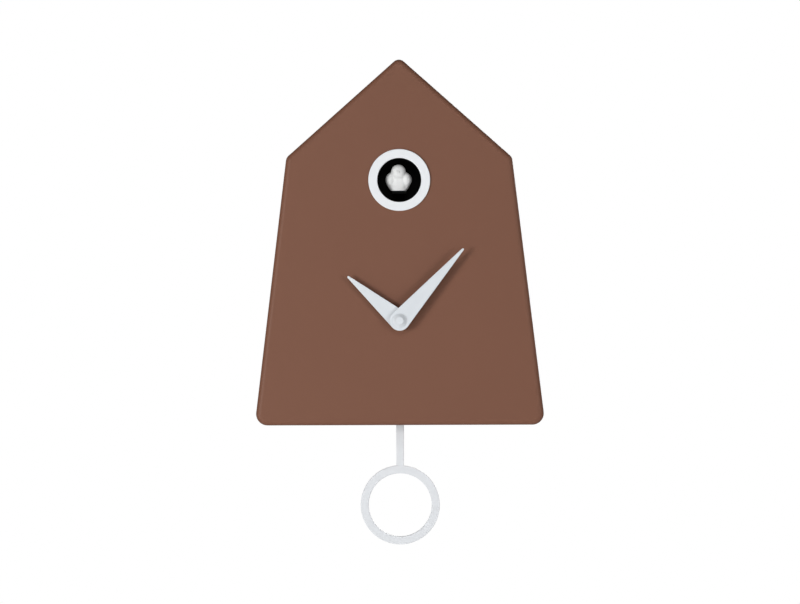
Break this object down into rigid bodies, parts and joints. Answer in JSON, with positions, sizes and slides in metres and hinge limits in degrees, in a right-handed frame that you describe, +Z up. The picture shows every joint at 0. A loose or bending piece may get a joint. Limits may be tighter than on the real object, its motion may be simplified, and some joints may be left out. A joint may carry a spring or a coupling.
{
  "type": "cuckoo clock",
  "caption": "Battery cuckoo clock for the wall: house-shaped case, bird that slides out of a round window, tapered hands, geared movement and swinging ring pendulum.",
  "frame": {"origin": "on the wall plane, level with the centre of the keyhole slot's top that hangs on the wall screw", "axes": "+Z up, +Y into the wall, +X to the right of a viewer in front of the clock"},
  "size_m": [0.23, 0.0881, 0.3904],
  "materials": {
    "brown_plastic": "fine satin moulded",
    "white_plastic": "satin moulded",
    "hand_paint": "satin paint",
    "black_plastic": "matte moulded",
    "gear_nylon": "natural nylon",
    "steel": "zinc plated",
    "brass": "turned",
    "copper_wire": "enamelled copper winding",
    "board_green": "solder mask",
    "cone_paper": "pressed pulp",
    "cell_sleeve": "shrunk sleeve",
    "wire_red": "extruded insulation"
  },
  "bodies": {
    "case": {"front_shell": "brown_plastic", "rear_cover": "brown_plastic", "cover_screw_1": "steel", "cover_screw_2": "steel", "cover_screw_3": "steel", "cover_screw_4": "steel", "cover_screw_5": "steel", "window_ring": "white_plastic", "bird_tunnel": "black_plastic", "bird_bracket": "black_plastic", "bird_motor": "steel", "bracket_screw_1": "steel", "bracket_screw_2": "steel", "movement_front_case": "black_plastic", "movement_middle_plate": "black_plastic", "movement_back_case": "black_plastic", "movement_nut": "brass", "movement_washer": "steel", "motor_stator": "steel", "motor_coil": "copper_wire", "pendulum_bracket": "black_plastic", "pendulum_pivot_pin": "steel", "pendulum_drive_coil": "copper_wire", "circuit_board": "board_green", "speaker_frame": "steel", "speaker_magnet": "steel", "battery_tray": "black_plastic", "battery_cell_1": "cell_sleeve", "battery_cell_2": "cell_sleeve", "battery_contact_minus": "steel", "battery_contact_plus": "steel", "battery_contact_bridge": "steel", "wire_battery": "wire_red", "wire_speaker": "black_plastic", "wire_bird_motor": "wire_red", "wire_movement": "black_plastic"},
    "minute_works": {"centre_arbor": "steel", "set_knob": "black_plastic", "minute_hand": "hand_paint", "hand_cap": "hand_paint"},
    "hour_works": {"hour_wheel": "gear_nylon", "hour_hand": "hand_paint"},
    "minute_wheel_body": {"minute_wheel": "gear_nylon"},
    "rotor_body": {"motor_rotor": "steel"},
    "fifth_wheel_body": {"fifth_wheel": "gear_nylon"},
    "fourth_wheel_body": {"fourth_wheel": "gear_nylon"},
    "third_wheel_body": {"third_wheel": "gear_nylon"},
    "centre_wheel_body": {"centre_wheel": "gear_nylon"},
    "bird_body": {"bird": "white_plastic", "bird_carriage": "black_plastic"},
    "bird_drive_body": {"bird_drive_gear": "black_plastic"},
    "bird_motor_body": {"bird_motor_pinion": "brass"},
    "pendulum_body": {"pendulum_hanger": "steel", "pendulum_magnet": "steel", "pendulum_rod": "white_plastic", "pendulum_ring": "white_plastic"},
    "cone_body": {"speaker_cone": "cone_paper"},
    "volume_body": {"volume_knob": "black_plastic"},
    "switch_body": {"mode_switch": "black_plastic"},
    "door_body": {"battery_door": "brown_plastic"}
  },
  "joints": [
    {"name": "minute_hand_turn", "type": "hinge", "parent": "case", "child": "minute_works", "pos_m": [0, -0.084, -0.1714], "axis": [0, 1, 0], "continuous": true},
    {"name": "hour_hand_turn", "type": "hinge", "parent": "case", "child": "hour_works", "pos_m": [0, -0.076, -0.1714], "axis": [0, 1, 0], "continuous": true},
    {"name": "minute_wheel_turn", "type": "hinge", "parent": "case", "child": "minute_wheel_body", "pos_m": [0.006, -0.069, -0.18179], "axis": [0, 1, 0], "continuous": true},
    {"name": "rotor_turn", "type": "hinge", "parent": "case", "child": "rotor_body", "pos_m": [0.00449, -0.06, -0.15979], "axis": [0, 1, 0], "continuous": true},
    {"name": "fifth_wheel_turn", "type": "hinge", "parent": "case", "child": "fifth_wheel_body", "pos_m": [0.00054, -0.0615, -0.15835], "axis": [0, 1, 0], "continuous": true},
    {"name": "fourth_wheel_turn", "type": "hinge", "parent": "case", "child": "fourth_wheel_body", "pos_m": [-0.00478, -0.063, -0.15929], "axis": [0, 1, 0], "continuous": true},
    {"name": "third_wheel_turn", "type": "hinge", "parent": "case", "child": "third_wheel_body", "pos_m": [-0.00883, -0.0645, -0.1663], "axis": [0, 1, 0], "continuous": true},
    {"name": "centre_wheel_turn", "type": "hinge", "parent": "case", "child": "centre_wheel_body", "pos_m": [0, -0.066, -0.1714], "axis": [0, 1, 0], "continuous": true},
    {"name": "bird_slide", "type": "slide", "parent": "case", "child": "bird_body", "axis": [0, -1, 0], "range_m": [0, 0.024]},
    {"name": "bird_drive_turn", "type": "hinge", "parent": "case", "child": "bird_drive_body", "pos_m": [0, -0.034, -0.0769], "axis": [1, 0, 0], "range_deg": [0, 230]},
    {"name": "bird_motor_turn", "type": "hinge", "parent": "case", "child": "bird_motor_body", "pos_m": [0, -0.034, -0.0907], "axis": [1, 0, 0], "range_deg": [-830, 0]},
    {"name": "pendulum_swing", "type": "hinge", "parent": "case", "child": "pendulum_body", "pos_m": [0, -0.04, -0.189], "axis": [0, 1, 0], "range_deg": [-8, 8]},
    {"name": "cone_travel", "type": "slide", "parent": "case", "child": "cone_body", "axis": [0, 1, 0], "range_m": [-0.0005, 0.0005], "stiffness_N_per_m": 1000},
    {"name": "volume_turn", "type": "hinge", "parent": "case", "child": "volume_body", "pos_m": [-0.052, -0.005, -0.121], "axis": [0, 1, 0], "range_deg": [-135, 135]},
    {"name": "switch_slide", "type": "slide", "parent": "case", "child": "switch_body", "axis": [1, 0, 0], "range_m": [-0.003, 0.003]},
    {"name": "door_swing", "type": "hinge", "parent": "case", "child": "door_body", "pos_m": [0, -0.0042, -0.2395], "axis": [-1, 0, 0], "range_deg": [0, 100]}
  ],
  "couplings": [
    {"joint": "hour_hand_turn", "follows": "minute_hand_turn", "ratio": 0.083333},
    {"joint": "minute_wheel_turn", "follows": "minute_hand_turn", "ratio": -0.33333},
    {"joint": "fifth_wheel_turn", "follows": "rotor_turn", "ratio": -0.16667},
    {"joint": "fourth_wheel_turn", "follows": "rotor_turn", "ratio": 0.033333},
    {"joint": "third_wheel_turn", "follows": "rotor_turn", "ratio": -0.0041667},
    {"joint": "centre_wheel_turn", "follows": "rotor_turn", "ratio": 0.00055556},
    {"joint": "bird_drive_turn", "follows": "bird_slide", "rad_per_m": 166.67},
    {"joint": "bird_motor_turn", "follows": "bird_slide", "rad_per_m": -600}
  ]
}
